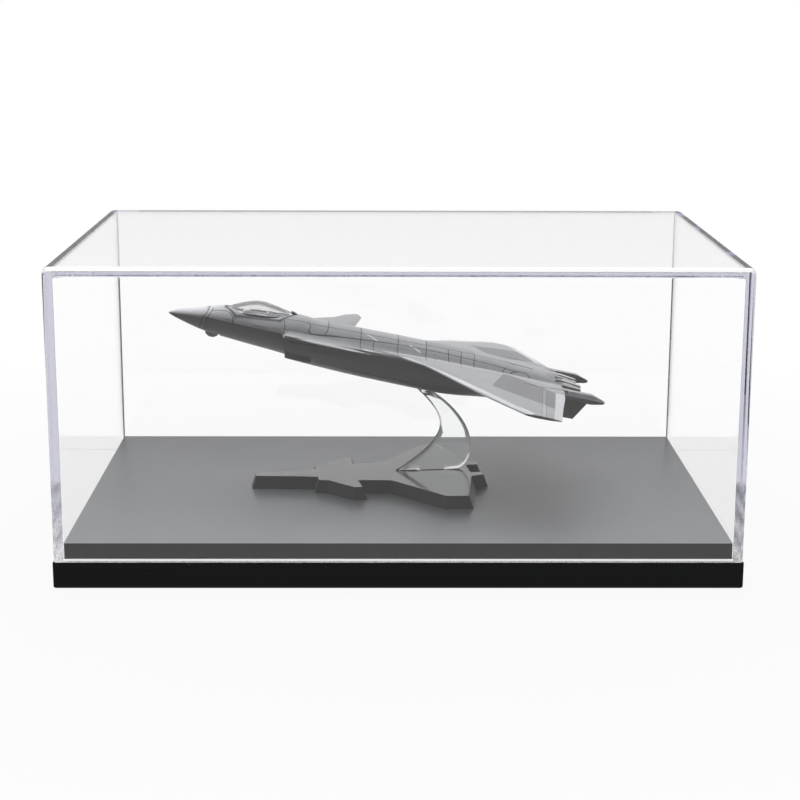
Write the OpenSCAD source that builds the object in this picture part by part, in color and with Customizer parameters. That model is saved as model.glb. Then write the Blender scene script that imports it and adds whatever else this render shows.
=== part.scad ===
// Display case for a scale model: a clear cover that lifts off a base board and plinth,
// with a model aircraft on a clear blade stand inside it.
// Origin: centre of the case, on the surface it stands on. +X right, +Y back, +Z up.
// The aircraft is drawn in a frame of its own: x runs aft from its nose, z up from its chord line.

/* [Cover] */
// Outside width of the cover, left to right
cover_w = 229; // [222:1:320]
// Outside depth of the cover, front to back
cover_d = 150; // [150:1:240]
// Height of the cover above the base board
cover_h = 98.5; // [94:0.5:180]
// Thickness of the acrylic sheet
wall = 3; // [2:0.25:3.5]
// Radius of the front and back panels' upper corners
corner_r = 2; // [1.2:0.1:6]
// Polished chamfer round the front and back panels
panel_edge = 0.9; // [0.2:0.1:1.1]

/* [Base] */
// Thickness of the base board
base_h = 9; // [7:0.5:18]
// How far the base board stands out past the cover on each side
base_lip = 0.25; // [0:0.05:4]
// Chamfer along the base board's lower edge
base_edge = 0.6; // [0.2:0.1:1.5]
// Thickness of the plinth
plinth_h = 6; // [5.5:0.5:15]
// Clearance between the plinth and the cover's walls
plinth_gap = 0.25; // [0.1:0.05:1]
// Radius of a foot pad
pad_r = 6; // [3:0.5:9]
// Thickness of a foot pad
pad_t = 2; // [1:0.25:3]
// How far a foot pad stands out below the base board
pad_proud = 0.5; // [0.25:0.25:0.75]
// Distance from the base board's edge to the middle of a foot pad
pad_inset = 16; // [12:1:24]

/* [Base screws] */
// Radius of the screws that hold the plinth
screw_r = 1.5; // [1:0.1:2]
// Radius of the countersunk heads
screw_head_r = 2.9; // [2.6:0.1:3.4]
// Length of screw in the plinth
screw_bite = 4; // [2.5:0.25:4.75]
// Distance between the screws, left to right
screw_span_x = 150; // [80:1:170]
// Distance between the screws, front to back
screw_span_y = 90; // [50:1:100]

/* [Stand] */
// Place of the blade's peg, left to right
stand_x = 9; // [5:0.5:12]
// Place of the blade's peg, front to back
stand_y = 4; // [1:0.5:4]
// Turn of the plate and the blade
stand_turn = 6.5; // [0:0.5:10]
// Thickness of the outline plate
plate_t = 4.5; // [4:0.25:6]
// Slope of the plate's edge: how much wider its foot is than its top, on each side
plate_slope = 1.6; // [0:0.1:2]
// Height of the blade above the plate
blade_h = 31.5; // [28:0.5:34]
// Thickness of the blade at its foot
blade_t = 4.4; // [3.6:0.1:5]
// Thickness of the blade at its peg
blade_tip_t = 3.2; // [2.8:0.1:3.4]
// Length of the peg along the aircraft
peg_w = 4; // [3:0.1:4.4]
// Thickness of the peg
peg_t = 2; // [1.4:0.1:2.4]
// Height of the peg
peg_h = 6; // [4:0.25:7]
// Clearance round the peg and the blade's foot
peg_gap = 0.15; // [0.1:0.05:0.3]

/* [Aircraft placing] */
// Nose-up angle of the aircraft
nose_up = 12; // [8:0.5:14]
// Turn of the aircraft, seen from above
jet_turn = 3.5; // [0:0.5:5]
// Distance from the nose to the peg
seat_x = 96; // [92:0.5:100]

/* [Aircraft body] */
// Distance from the nose to the end of the tail booms
jet_len = 160; // [155:1:168]
// Length of the nose cone
nose_len = 13; // [10:0.5:15]
// Height of the chine, where the body's halves part
chine_z = 2; // [1.75:0.25:2.5]
// Height of the spine above the chord line
spine_z = 7.8; // [7:0.1:9]
// Depth of the belly below the chord line
belly_z = 9.2; // [8.6:0.1:10.5]
// Half width of the body at the chine, at the cockpit
cockpit_half = 9.4; // [8:0.1:10]
// Half width of the body across the intakes
body_half = 15.8; // [15:0.1:17]
// Distance from the nose to the intake lips
intake_x = 41.4; // [40:0.1:45]
// Distance from the nose to the rear ends of the intake pieces
intake_end = 60; // [58:0.5:61]
// Depth of the intake ducts
duct_depth = 12; // [4:0.5:14]
// Distance from the nose to the body's rear face
body_end = 144.5; // [142:0.5:146]
// Radius of the screws that join the body's halves
body_screw_r = 1.2; // [0.8:0.1:1.4]

/* [Canopy] */
// Distance from the nose to the front of the canopy
canopy_x = 20.5; // [18:0.5:22]
// Length of the canopy
canopy_len = 24; // [20:0.5:26]
// Height of the canopy above the chord line
canopy_z = 10.5; // [9.5:0.1:12]
// Half width of the canopy
canopy_half = 6.3; // [5:0.1:6.6]
// Thickness of the canopy glass
glass_t = 0.6; // [0.4:0.05:0.8]
// Thickness of the canopy frame round the glass
frame_t = 0.35; // [0.2:0.05:0.6]
// Height of the canopy frame
frame_h = 0.8; // [0.5:0.1:1.2]

/* [Wings] */
// Half of the wing span
half_span = 62.5; // [56:0.5:63.5]
// Distance from the nose to the wing tip's front corner
tip_x = 124; // [118:0.5:127]
// Length of the wing tip
tip_chord = 13; // [9:0.5:16]
// Thickness of the wing at the body
wing_t = 2.2; // [1.6:0.1:2.4]
// Thickness of the wing at its tip
wing_tip_t = 1; // [0.6:0.1:1.4]
// Height of the wing at the body, above the chord line
wing_z = 3.2; // [3.2:0.1:4]
// Height of the wing at its tip
wing_tip_z = 1.1; // [0:0.1:3]

/* [Canards and fins] */
// Distance from the body's middle to a canard's tip
canard_half = 37.5; // [33:0.5:41]
// Height of a canard's tip above its root
canard_rise = 3.6; // [2:0.1:5]
// Thickness of a canard
canard_t = 1; // [0.6:0.1:1.2]
// Depth of a ventral fin below its boom
fin_h = 6.2; // [4:0.5:9]
// Thickness of a ventral fin
fin_t = 1; // [0.6:0.1:1.4]
// Outward lean of a ventral fin
fin_lean = 14; // [0:1:20]

/* [Nozzles] */
// Radius of a nozzle where it leaves the body
nozzle_r = 4.5; // [3.8:0.1:4.8]
// Radius of a nozzle at its mouth
nozzle_mouth_r = 3.7; // [3:0.1:4.2]
// Length of a nozzle
nozzle_len = 8; // [6:0.5:9]
// Distance from the body's middle to a nozzle's axis
nozzle_y = 5.6; // [5.2:0.1:6.4]

/* [Hidden] */
$fn = 48;

// Heights of the stacked pieces
base_z = pad_proud;
deck_z = base_z + base_h;
plinth_top = deck_z + plinth_h;
plate_top = plinth_top + plate_t;
seat_z = plate_top + blade_h;
inner_w = cover_w - 2 * wall;
inner_d = cover_d - 2 * wall;
thin = 0.01;
fit = 0.05;

// ---------------------------------------------------------------- helpers
function unit(v) = v / norm(v);
function outward(a, b) = let (d = unit(b - a)) [d[1], -d[0]];
function grow(p, by) = [for (i = [0:len(p) - 1])
    let (n = len(p), m1 = outward(p[(i + n - 1) % n], p[i]), m2 = outward(p[i], p[(i + 1) % n]))
    p[i] + by * (m1 + m2) / (1 + m1 * m2)];
function bezier(p, t) = pow(1 - t, 3) * p[0] + 3 * t * pow(1 - t, 2) * p[1]
    + 3 * t * t * (1 - t) * p[2] + pow(t, 3) * p[3];
// Smooth curve through [x, value] stations
function span_of(s, x, i = 0) = (i >= len(s) - 2 || x < s[i + 1][0]) ? i : span_of(s, x, i + 1);
function slope_at(s, i) = let (a = max(i - 1, 0), b = min(i + 1, len(s) - 1))
    (s[b][1] - s[a][1]) / (s[b][0] - s[a][0]);
function along(s, x) = let (i = span_of(s, x), h = s[i + 1][0] - s[i][0], t = (x - s[i][0]) / h)
    (2 * pow(t, 3) - 3 * t * t + 1) * s[i][1] + (pow(t, 3) - 2 * t * t + t) * h * slope_at(s, i)
    + (3 * t * t - 2 * pow(t, 3)) * s[i + 1][1] + (pow(t, 3) - t * t) * h * slope_at(s, i + 1);
function steps(a, b, n) = [for (i = [0:n]) a + (b - a) * i / n];

function rev(l) = [for (i = [len(l) - 1:-1:0]) l[i]];
function total(l, i = 0) = i == len(l) - 1 ? l[i] : l[i] + total(l, i + 1);
// Which way round a ring runs, seen along the loft
function turn_of(ring, next) = let (n = len(ring))
    total([for (j = [1:n - 2]) cross(ring[j] - ring[0], ring[j + 1] - ring[0])]) * (total(next) - total(ring));

// Solid through a list of rings with the same number of points
module loft(sections) {
    rings = turn_of(sections[0], sections[1]) > 0 ? [for (s = sections) rev(s)] : sections;
    n = len(rings[0]);
    m = len(rings);
    polyhedron(points = [for (r = rings) for (p = r) p],
        faces = concat([[for (j = [n - 1:-1:0]) j]],
            [[for (j = [0:n - 1]) (m - 1) * n + j]],
            [for (i = [0:m - 2]) for (j = [0:n - 1]) let (k = (j + 1) % n)
                [i * n + j, i * n + k, (i + 1) * n + j]],
            [for (i = [0:m - 2]) for (j = [0:n - 1]) let (k = (j + 1) % n)
                [i * n + k, (i + 1) * n + k, (i + 1) * n + j]]), convexity = 8);
}
// Triangles that fill a flat outline, counterclockwise seen from above, by cutting one corner off at a time
function twice_area(a, b, c) = (b[0] - a[0]) * (c[1] - a[1]) - (b[1] - a[1]) * (c[0] - a[0]);
function holds(a, b, c, q) = twice_area(a, b, q) >= 0 && twice_area(b, c, q) >= 0 && twice_area(c, a, q) >= 0;
function corner(l, i) = let (n = len(l)) [l[(i + n - 1) % n], l[i], l[(i + 1) % n]];
function is_ear(p, l, i) = let (t = corner(l, i)) twice_area(p[t[0]], p[t[1]], p[t[2]]) > 0
    && len([for (k = l) if (!(k == t[0] || k == t[1] || k == t[2]) && holds(p[t[0]], p[t[1]], p[t[2]], p[k])) k]) == 0;
function first_ear(p, l, i = 0) = is_ear(p, l, i) ? i : first_ear(p, l, i + 1);
function ears(p, l) = len(l) == 3 ? [l] : let (i = first_ear(p, l))
    concat([corner(l, i)], ears(p, [for (k = [0:len(l) - 1]) if (k != i) l[k]]));

// Flat plate of any outline whose foot is wider than its top by slope on each side
module sloped_plate(outline, slope, h) {
    n = len(outline);
    foot = grow(outline, slope);
    polyhedron(points = concat([for (p = foot) [p[0], p[1], 0]], [for (p = outline) [p[0], p[1], h]]),
        faces = concat(ears(foot, [for (i = [0:n - 1]) i]),
            [for (t = ears(outline, [for (i = [0:n - 1]) i])) [t[2] + n, t[1] + n, t[0] + n]],
            [for (i = [0:n - 1]) let (k = (i + 1) % n) [i, i + n, k + n, k]]), convexity = 8);
}
module each_side(x, y) for (sx = [-1, 1]) for (sy = [-1, 1]) translate([sx * x, sy * y, 0]) children();
module mirrored(side) mirror([0, side < 0 ? 1 : 0, 0]) children();

// ---------------------------------------------------------------- case base
base_w = cover_w + 2 * base_lip;
base_d = cover_d + 2 * base_lip;
pad_x = base_w / 2 - pad_inset;
pad_y = base_d / 2 - pad_inset;
pad_seat = base_z + pad_t - pad_proud;

module countersink(r, head_r) {
    cylinder(r1 = head_r, r2 = r, h = head_r - r);
}
module base_board() color([0.08, 0.08, 0.09]) difference() {
    translate([0, 0, base_z]) {
        translate([-base_w / 2, -base_d / 2, base_edge]) cube([base_w, base_d, base_h - base_edge]);
        difference() {
            translate([-base_w / 2, -base_d / 2, 0]) cube([base_w, base_d, base_edge + thin]);
            for (a = [0, 180]) rotate(a) {
                edge_cut(base_w, base_d);
                rotate(90) edge_cut(base_d, base_w);
            }
        }
    }
    each_side(pad_x, pad_y) cylinder(r = pad_r + fit, h = pad_seat);
    each_side(screw_span_x / 2, screw_span_y / 2) {
        cylinder(r = screw_r + 2 * fit, h = deck_z + 1);
        translate([0, 0, base_z]) countersink(screw_r + 2 * fit, screw_head_r + 2 * fit);
        cylinder(r = screw_head_r + 2 * fit, h = base_z);
    }
}
// Triangular bar that cuts the chamfer along the lower front edge
module edge_cut(len_x, len_y) {
    translate([-len_x / 2 - 1, -len_y / 2, 0]) rotate([90, 0, 90])
        linear_extrude(len_x + 2) polygon([[-1, -1], [base_edge, -1], [base_edge, 0], [0, base_edge],
            [-1, base_edge]]);
}
module plinth() color([0.52, 0.53, 0.54]) difference() {
    translate([-inner_w / 2 + plinth_gap, -inner_d / 2 + plinth_gap, deck_z])
        cube([inner_w - 2 * plinth_gap, inner_d - 2 * plinth_gap, plinth_h]);
    each_side(screw_span_x / 2, screw_span_y / 2)
        translate([0, 0, deck_z - 1]) cylinder(r = screw_r + fit, h = screw_bite + 1 + fit);
}
// Cross recess in a screw's head
recess_w = 0.6;
recess_deep = 0.9;
module base_screws() color("silver") each_side(screw_span_x / 2, screw_span_y / 2)
    translate([0, 0, base_z]) difference() {
        union() {
            countersink(screw_r, screw_head_r);
            cylinder(r = screw_r, h = base_h + screw_bite);
        }
        translate([0, 0, -thin]) for (a = [0, 90]) rotate(a)
            translate([-screw_r, -recess_w / 2, 0]) cube([2 * screw_r, recess_w, recess_deep]);
    }
module foot_pads() color([0.15, 0.15, 0.16]) each_side(pad_x, pad_y)
    cylinder(r = pad_r, h = pad_seat);

// ---------------------------------------------------------------- cover
// Outline of an end panel, with two rounded corners; all but its lower edge lies further in by inset
module panel_outline(inset) {
    w = cover_w - 2 * inset;
    r = corner_r - inset;
    translate([-w / 2, 0]) square([w, cover_h - corner_r]);
    translate([-w / 2 + r, 0]) square([w - 2 * r, cover_h - inset]);
    for (s = [-1, 1]) translate([s * (w / 2 - r), cover_h - corner_r]) circle(r);
}
module end_panel(side) mirror([0, side > 0 ? 1 : 0, 0])
    translate([0, -inner_d / 2, deck_z]) rotate([90, 0, 0]) hull() {
        linear_extrude(wall - panel_edge) panel_outline(0);
        linear_extrude(wall) panel_outline(panel_edge);
    }
module side_panel(side) translate([side > 0 ? inner_w / 2 : -cover_w / 2, -inner_d / 2, deck_z])
    cube([wall, inner_d, cover_h]);

module cover_front() color([0.85, 0.9, 0.95, 0.3]) end_panel(-1);
module cover_back() color([0.85, 0.9, 0.95, 0.3]) end_panel(1);
module cover_left() color([0.85, 0.9, 0.95, 0.3]) side_panel(-1);
module cover_right() color([0.85, 0.9, 0.95, 0.3]) side_panel(1);
module cover_roof() color([0.85, 0.9, 0.95, 0.3])
    translate([-inner_w / 2, -inner_d / 2, deck_z + cover_h - wall]) cube([inner_w, inner_d, wall]);

// ---------------------------------------------------------------- stand
// Half of the plate's top outline, from its nose to its tail, seen from above
plate_half = [[-61.5, 1.7], [-44, 4.2], [-39, 5.6], [-39, 9.8], [-35.5, 10.5], [-27, 20.8], [-24.2, 20.6],
    [-24.8, 11.4], [-12.8, 13], [2.4, 33], [4.4, 35.6], [12.3, 36.2], [17.2, 10.6], [22, 8.6], [22, 5.4],
    [17.6, 5.2]];
plate_outline = concat([for (p = plate_half) [p[0], -p[1]]],
    [for (i = [len(plate_half) - 1:-1:0]) plate_half[i]]);
// Tab under the blade's foot: length, thickness, depth
foot_tab = [11, 2.4, 3];
// How far a foot tab and a peg reach into the blade
root = 0.6;

module on_plate() translate([stand_x, stand_y, 0]) rotate(stand_turn) children();
module stand_plate() color([0.3, 0.3, 0.31]) on_plate() difference() {
    translate([0, 0, plinth_top]) sloped_plate(plate_outline, plate_slope, plate_t);
    translate([foot_x - foot_tab[0] / 2 - peg_gap, -foot_tab[1] / 2 - peg_gap, plate_top - foot_tab[2] - peg_gap])
        cube([foot_tab[0] + 2 * peg_gap, foot_tab[1] + 2 * peg_gap, foot_tab[2] + 1]);
}

// Edges of the blade, seen from the side, with the foot at z = 0 and the peg above x = 0;
// foot_x is the middle of the foot tab
foot_x = 4;
tip_half = 2.7;
tip_left = [-tip_half * cos(nose_up), blade_h + tip_half * sin(nose_up)];
tip_right = [tip_half * cos(nose_up), blade_h - tip_half * sin(nose_up)];
neck = [6.9, 17];
bulge = [18.6, 9];
left_low = [[-9.9, 0], [-1, 6], [6.5, 11.5], neck];
left_high = [neck, [7.2, 22], [2.5, 27], tip_left];
right_low = [[13.6, 0], [17, 0.6], [18.5, 5], bulge];
right_high = [bulge, [18.8, 17.5], [10.5, 26.3], tip_right];
blade_steps = 9;
function blade_edge(low, high, t) = t < 0.5 ? bezier(low, 2 * t) : bezier(high, 2 * t - 1);
lens = [-1, -0.8, -0.4, 0, 0.4, 0.8, 1];
// A lens-shaped section between the two edges, thickest in the middle
function blade_ring(t) = let (l = blade_edge(left_low, left_high, t), r = blade_edge(right_low, right_high, t),
    m = (l + r) / 2, h = (r - l) / 2, half_t = (blade_t + (blade_tip_t - blade_t) * t) / 2)
    concat([for (s = lens) [m[0] + s * h[0], -half_t * (1 - s * s), m[1] + s * h[1]]],
        [for (i = [len(lens) - 2:-1:1]) let (s = lens[i])
            [m[0] + s * h[0], half_t * (1 - s * s), m[1] + s * h[1]]]);
module stand_blade() color([0.8, 0.85, 0.88, 0.5]) {
    on_plate() translate([0, 0, plate_top]) {
        loft([for (t = steps(0, 1, 2 * blade_steps)) blade_ring(t)]);
        translate([foot_x - foot_tab[0] / 2, -foot_tab[1] / 2, -foot_tab[2]])
            cube([foot_tab[0], foot_tab[1], foot_tab[2] + root]);
    }
    translate([stand_x, stand_y, seat_z]) rotate([0, nose_up, jet_turn])
        translate([-peg_w / 2, -peg_t / 2, -root]) cube([peg_w, peg_t, peg_h + root]);
}

// ---------------------------------------------------------------- aircraft, in its own frame
jet_seat_gap = 0.2;
module on_blade() translate([stand_x, stand_y, seat_z]) rotate([0, nose_up, jet_turn])
    translate([-seat_x, 0, belly_z + jet_seat_gap]) children();

// Heights and half widths along the body, as [distance from the nose, value]
back_z = [[0, 0.3], [3, 1.9], [nose_len, 4.7], [canopy_x, 6.5], [30, 6.7], [38, 7.2], [46, spine_z + 0.5],
    [54, spine_z], [90, spine_z + 0.1], [118, spine_z - 0.4], [body_end, spine_z - 2.3]];
fore_half = [[0, 0.4], [3, 2.1], [nose_len, 5.4], [26, 8], [38, cockpit_half], [intake_x + 6, cockpit_half + 0.6],
    [90, cockpit_half + 2.6], [body_end, cockpit_half + 1.6]];
// Half width of the upper body: as the lower body's as far as the intakes, then a narrower hump
hump_half = concat([for (p = fore_half) if (p[0] < intake_x) p], [[intake_x + 1, cockpit_half - 0.1],
    [51, cockpit_half - 0.6], [60, cockpit_half - 0.4], [90, cockpit_half + 0.6], [118, cockpit_half + 1],
    [body_end, cockpit_half + 0.2]]);
fore_belly = [[0, -0.4], [3, -1.5], [nose_len, -4], [26, -5.3], [40, -6.4], [52, -7.6], [intake_end + 2, -8.4]];
mid_belly = [[intake_x, 2 - belly_z], [52, 1.2 - belly_z], [70, 0.3 - belly_z], [seat_x - 8, -belly_z],
    [seat_x + 8, -belly_z], [118, 1.8 - belly_z], [body_end, 5 - belly_z]];
fore_xs = concat(steps(nose_len, canopy_x, 3), steps(24, intake_end + 2, 12));
mid_xs = steps(intake_end, body_end, 14);
spine_xs = concat(steps(nose_len, canopy_x, 3), steps(24, 54, 11), steps(62, body_end, 12));

// Half arch over the chine: squareness 1 is an ellipse, less is boxier
function arch(x, half, from_z, to_z, square_off, n) = [for (i = [0:n]) let (a = 180 * i / n,
    c = cos(a), s = sin(a))
    [x, sign(c) * half * pow(abs(c), square_off), from_z + (to_z - from_z) * pow(abs(s), square_off)]];
function upper_ring(x) = arch(x, along(hump_half, x), chine_z, along(back_z, x), 0.9, 14);
function lower_ring(x, half, belly, square_off) = rev(arch(x, half, chine_z, belly, square_off, 14));

module nose_cone() loft([for (x = concat([0, 0.8], steps(2, nose_len, 6)))
    concat(upper_part(x), lower_part(x))]);
nose_n = 10;
function tip_chine(x) = chine_z * min(1, x / nose_len);
function upper_part(x) = arch(x, along(fore_half, x), tip_chine(x), along(back_z, x), 1, nose_n);
function lower_part(x) = let (a = rev(arch(x, along(fore_half, x), tip_chine(x), along(fore_belly, x), 1, nose_n)))
    [for (i = [1:nose_n - 1]) a[i]];
module jet_nose_cone() color([0.55, 0.56, 0.57]) on_blade() nose_cone();

// Canopy bubble, widened by g; its seat is a plane that rises towards the tail
canopy_end = canopy_x + canopy_len;
canopy_peak = canopy_x + 0.44 * canopy_len;
seat_front = 4;
seat_rise = 4.8;
canopy_low = 2;
function bubble_z(x) = along([[canopy_x, 6.4], [canopy_x + 3.7, 8.3], [canopy_peak, canopy_z],
    [canopy_x + 17, canopy_z - 0.6], [canopy_end, canopy_z - 2.1]], x);
function bubble_half(x) = along([[canopy_x, 1.4], [canopy_x + 4, canopy_half - 0.9],
    [canopy_peak, canopy_half], [canopy_x + 18, canopy_half - 0.5], [canopy_end, canopy_half - 4.6]], x);
module bubble(g) {
    xs = steps(canopy_x - g, canopy_end + g, 12);
    loft([for (x = xs) let (q = min(max(x, canopy_x), canopy_end), k = canopy_low)
        arch(x, bubble_half(q) + g, k, bubble_z(q) + g, 0.9, 12)]);
}
module above_seat(lift) translate([canopy_x - 6, -2 * canopy_half, seat_front + lift]) rotate([0, -seat_rise, 0])
    cube([canopy_len + 14, 4 * canopy_half, 2 * canopy_z]);
well_floor = 3.2;
module cockpit_well(g) {
    w = canopy_half - 2.6 + g;
    translate([canopy_x + 4 - g, -w, well_floor - g]) cube([canopy_len - 8 + 2 * g, 2 * w, 6]);
}

module wing_side() {
    // Span stations: [y, front x, rear x, height, thickness]
    s = [[12, wing_nose_x - 4, body_end, wing_z, wing_t], [16.3, wing_nose_x, body_end, wing_z, wing_t],
        [22.5, 92.8, body_end - 0.6, wing_z - 0.1, wing_t - 0.1],
        [33, 100.5, body_end - 2, wing_z - 0.5, wing_t - 0.4],
        [half_span - 17, 109, tip_x + tip_chord + 3, wing_tip_z + 0.9, wing_tip_t + 0.4],
        [half_span - 8, tip_x - 7, tip_x + tip_chord + 1.4, wing_tip_z + 0.4, wing_tip_t + 0.2],
        [half_span, tip_x, tip_x + tip_chord, wing_tip_z, wing_tip_t]];
    cuts = [[0, 0.25], [0.08, 0.6], [0.3, 1], [0.7, 0.9], [1, 0.25]];
    loft([for (p = s) concat(
        [for (c = cuts) [p[1] + c[0] * (p[2] - p[1]), p[0], p[3] - c[1] * p[4] / 2]],
        [for (c = rev(cuts)) [p[1] + c[0] * (p[2] - p[1]), p[0], p[3] + c[1] * p[4] / 2]])]);
}
// Shoulder over the intakes: thin at its swept front edge, as thick as the wing's nose at the wing
shoulder_t = 0.8;
shoulder_in = 8;
wing_nose_x = 84;
wing_nose_t = 1.45;
module shoulder() loft([for (p = [[intake_x + 0.6, 2.2, shoulder_t], [intake_x + 4, 0, shoulder_t],
    [intake_end, 0, shoulder_t], [wing_nose_x, 0, wing_nose_t], [110, 0, wing_nose_t], [body_end, 0, wing_nose_t]])
    let (x = p[0], w = x == body_end ? body_half - 1 : body_half + 0.2)
    [[x, w, chine_z], [x, w, chine_z + p[2]], [x + p[1], shoulder_in, chine_z + 2 * shoulder_t],
        [x + p[1], -shoulder_in, chine_z + 2 * shoulder_t], [x, -w, chine_z + p[2]], [x, -w, chine_z]]]);
// Flat tail boom beside the nozzles
boom_y = 18;
boom_half = 2;
boom_low = 0.4;
boom_top = 3.6;
module boom() loft([for (p = [[126, boom_half, 1.9, 2.9], [134, boom_half, boom_low, boom_top],
    [jet_len - 5, boom_half, boom_low, boom_top], [jet_len - 1, boom_half - 0.7, 1, 2.4],
    [jet_len, 0.6, 1.3, 2]])
    [[p[0], boom_y - p[1], p[2]], [p[0], boom_y + p[1], p[2]],
        [p[0], boom_y + p[1], (p[2] + p[3]) / 2], [p[0], boom_y + p[1] - 0.6, p[3]],
        [p[0], boom_y - p[1], p[3]]]]);

body_screw_xs = [74, 126];
module jet_upper_body() color([0.62, 0.63, 0.64]) on_blade() difference() {
    union() {
        loft([for (x = spine_xs) upper_ring(x)]);
        shoulder();
        for (side = [-1, 1]) mirrored(side) {
            wing_side();
            boom();
        }
    }
    intersection() {
        bubble(frame_t);
        above_seat(0);
    }
    cockpit_well(fit);
    for (x = body_screw_xs) translate([x, 0, chine_z - 1]) cylinder(r = body_screw_r + fit, h = 4.5);
    for (side = [-1, 1]) mirrored(side) {
        fin_pin(fit);
        canard_pin(fit);
    }
}

module fore_lower(g) loft([for (x = fore_xs) lower_ring(x, along(fore_half, x) + g, along(fore_belly, x) - g, 1)]);
module mid_lower() loft([for (x = mid_xs) lower_ring(x, body_half, along(mid_belly, x), 0.75)]);
socket = [9, 6, 8];
socket_low = -belly_z;
sensor_x = 14;
sensor_len = 5;
sensor_half = 2.4;
sensor_seat = -3.9;
nozzle_z = 0.3;
spigot_r = 1.4;
spigot_len = 4;
canard_pin_x = 56;
canard_pin_r = 0.3;
canard_pin_len = 4;
module jet_lower_body() color([0.3, 0.31, 0.32]) on_blade() difference() {
    union() {
        fore_lower(0);
        mid_lower();
    }
    translate([seat_x, 0, 0]) socket_block(fit);
    for (x = body_screw_xs) translate([x, 0, 0]) {
        translate([0, 0, -2 * belly_z]) cylinder(r = body_screw_r + fit, h = 3 * belly_z);
        translate([0, 0, -2 * belly_z]) cylinder(r = 2 * body_screw_r + fit, h = 2 * belly_z + body_screw_seat);
    }
    translate([sensor_x - 0.4, -sensor_half - 1.6, sensor_seat - 5]) cube([sensor_len + 0.8, 2 * sensor_half + 3.2, 5]);
    for (side = [-1, 1]) mirrored(side) {
        translate([body_end - spigot_len - fit, nozzle_y, nozzle_z]) rotate([0, 90, 0])
            cylinder(r = spigot_r + fit, h = spigot_len + 1);
    }
}

// Intake: the outer wall carries the body's section forward to a raked lip
lip_rake = 16;
duct_wall = 0.8;
duct_floor = 2.9;
module intake_side() difference() {
    loft([for (x = steps(intake_x, intake_end, 5)) lower_ring(x, body_half, along(mid_belly, x), 0.75)]);
    translate([intake_x - 1, -2 * body_half, -2 * belly_z]) cube([intake_end, 2 * body_half + 6, 4 * belly_z]);
    fore_lower(0.2);
    translate([intake_x, 0, chine_z]) rotate([0, -lip_rake, 0])
        translate([-2 * belly_z, 0, -2 * belly_z]) cube([2 * belly_z, 2 * body_half, 2 * belly_z]);
    translate([intake_x - 1, 0, 0]) rotate([90, 0, 90]) linear_extrude(duct_depth + 1)
        polygon([[cockpit_half + 2 * duct_wall, chine_z - duct_wall], [body_half - duct_wall, chine_z - duct_wall],
            [body_half - 1.5 * duct_wall, -0.38 * belly_z], [body_half - 4.8 * duct_wall, duct_floor - belly_z],
            [cockpit_half - duct_wall, duct_floor - belly_z], [cockpit_half + duct_wall, -0.22 * belly_z]]);
}
module jet_intake_left() color([0.3, 0.31, 0.32]) on_blade() mirrored(-1) intake_side();
module jet_intake_right() color([0.3, 0.31, 0.32]) on_blade() intake_side();

module jet_canopy_glass() color([0.85, 0.9, 0.9, 0.4]) on_blade() intersection() {
    difference() {
        bubble(0);
        bubble(-glass_t);
    }
    above_seat(0);
}
module jet_canopy_frame() color([0.25, 0.25, 0.26]) on_blade() difference() {
    intersection() {
        bubble(frame_t);
        above_seat(0);
    }
    bubble(0);
    above_seat(frame_h);
}
module jet_cockpit_tub() color([0.2, 0.2, 0.21]) on_blade() difference() {
    cockpit_well(0);
    above_seat(0);
    w = canopy_half - 3.4;
    translate([canopy_x + 7.5, -w, well_floor + 1]) cube([canopy_len - 13, 2 * w, 6]);
}

// ---------------------------------------------------------------- canards, fins, nozzles
canard_z = chine_z + 0.5;
canard_root = body_half + 0.35;
// The pin's axis lies in the middle of the shoulder's edge
module canard_pin(g) translate([canard_pin_x, body_half - canard_pin_len - g, chine_z + shoulder_t / 2])
    rotate([-90, 0, 0]) cylinder(r = canard_pin_r + g, h = canard_pin_len + g + 1);
module canard_side() {
    // Span stations: [share of the way out, front x, rear x]
    s = [[0, 46, 67.5], [0.22, 50, 68.2], [0.43, 54.4, 69.4], [0.66, 61.3, 70.6], [0.89, 65.2, 71.8],
        [1, 69.4, 70.8]];
    loft([for (p = s) let (y = canard_root + p[0] * (canard_half - canard_root),
        z = canard_z + p[0] * canard_rise, t = canard_t * (1 - 0.5 * p[0]) / 2, c = p[2] - p[1])
        [[p[1], y, z], [p[1] + 0.3 * c, y, z - t], [p[2], y, z - 0.3 * t], [p[2], y, z + 0.3 * t],
            [p[1] + 0.3 * c, y, z + t]]]);
    translate([canard_pin_x, body_half - canard_pin_len, chine_z + shoulder_t / 2])
        rotate([-90, 0, 0]) cylinder(r = canard_pin_r, h = canard_pin_len + canard_t);
}
module jet_canard_left() color([0.6, 0.61, 0.62]) on_blade() mirrored(-1) canard_side();
module jet_canard_right() color([0.6, 0.61, 0.62]) on_blade() canard_side();

fin_x = 146;
module fin_pin(g) translate([fin_x, boom_y, boom_low - 1]) cylinder(r = 0.6 + g, h = 3 + g);
module fin_side() {
    s = [[0, 137, 153.8], [1, 142, 149.6]];
    loft([for (p = s) let (z = boom_low - 0.3 - p[0] * fin_h, y = boom_y + p[0] * fin_h * tan(fin_lean))
        rev([[p[1], y, z], [p[1] + 4, y - fin_t / 2, z], [p[2], y - fin_t / 5, z],
            [p[2], y + fin_t / 5, z], [p[1] + 4, y + fin_t / 2, z]])]);
    translate([fin_x, boom_y, boom_low - 1]) cylinder(r = 0.6, h = 3);
}
module jet_fin_left() color([0.35, 0.36, 0.37]) on_blade() mirrored(-1) fin_side();
module jet_fin_right() color([0.35, 0.36, 0.37]) on_blade() fin_side();

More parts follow.
